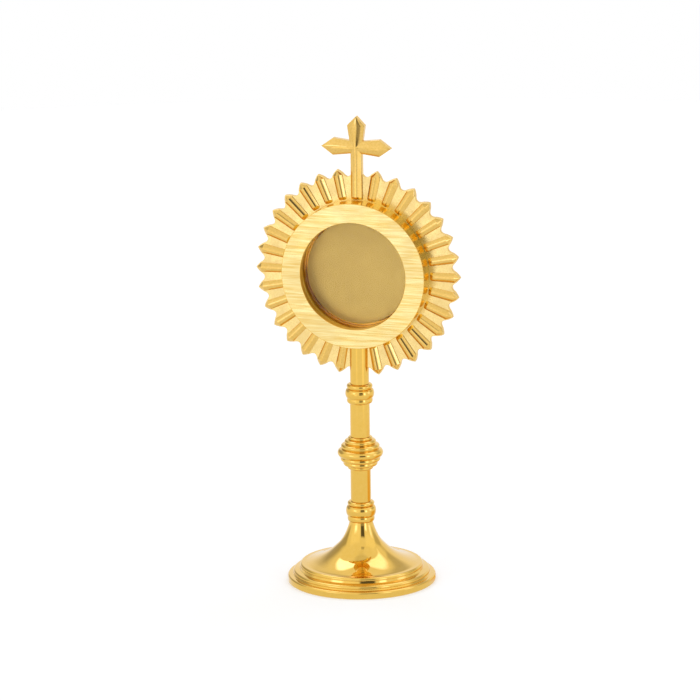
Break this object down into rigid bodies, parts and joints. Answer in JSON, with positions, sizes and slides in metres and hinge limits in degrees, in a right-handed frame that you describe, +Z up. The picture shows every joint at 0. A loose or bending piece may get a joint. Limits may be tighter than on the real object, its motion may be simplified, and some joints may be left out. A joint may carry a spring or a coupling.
{
  "type": "reliquary monstrance",
  "caption": "Small gilt brass reliquary monstrance: round glazed relic case with a hinged back door, ringed by a rayed sunburst with a cross, on a turned stem and stepped round foot.",
  "frame": {"origin": "centre of the foot's underside, on the surface that the object stands on", "axes": "+Z up along the stem, -Y towards the glazed front, +X to the viewer's right when facing the front"},
  "size_m": [0.0888, 0.0624, 0.2],
  "materials": {
    "polished_gold": "polished gold-plated brass",
    "brushed_gold": "straight-brushed gold-plated brass",
    "satin_gold": "satin gold-plated brass",
    "plain_brass": "bare turned brass",
    "steel": "zinc-plated steel",
    "clear_glass": "clear float glass",
    "dark_seal": "matt rubber"
  },
  "bodies": {
    "stand": {"foot": "polished_gold", "foot_washer": "steel", "foot_nut": "plain_brass", "tie_rod": "steel", "lower_collar": "polished_gold", "lower_tube": "polished_gold", "knop": "polished_gold", "upper_tube": "polished_gold", "upper_collar": "polished_gold", "neck_post": "polished_gold", "sunburst": "polished_gold", "drum_wall": "polished_gold", "front_bezel": "brushed_gold", "window_glass": "clear_glass", "glass_seal": "dark_seal", "chamber_sleeve": "satin_gold", "rear_ring": "polished_gold", "case_hinge_leaf": "polished_gold", "hinge_pin": "plain_brass", "button_screw": "plain_brass"},
    "door": {"back_door": "polished_gold", "relic_plate": "satin_gold", "door_pull": "polished_gold", "door_hinge_leaf": "polished_gold"},
    "latch": {"turn_button": "polished_gold"}
  },
  "joints": [
    {"name": "door_hinge", "type": "hinge", "parent": "stand", "child": "door", "pos_m": [0.0293, 0.0041, 0.13335], "axis": [0, 0, -1], "range_deg": [0, 120]},
    {"name": "latch_pivot", "type": "hinge", "parent": "stand", "child": "latch", "pos_m": [-0.0302, 0.0046, 0.13335], "axis": [0, 1, 0], "range_deg": [0, 90]}
  ]
}
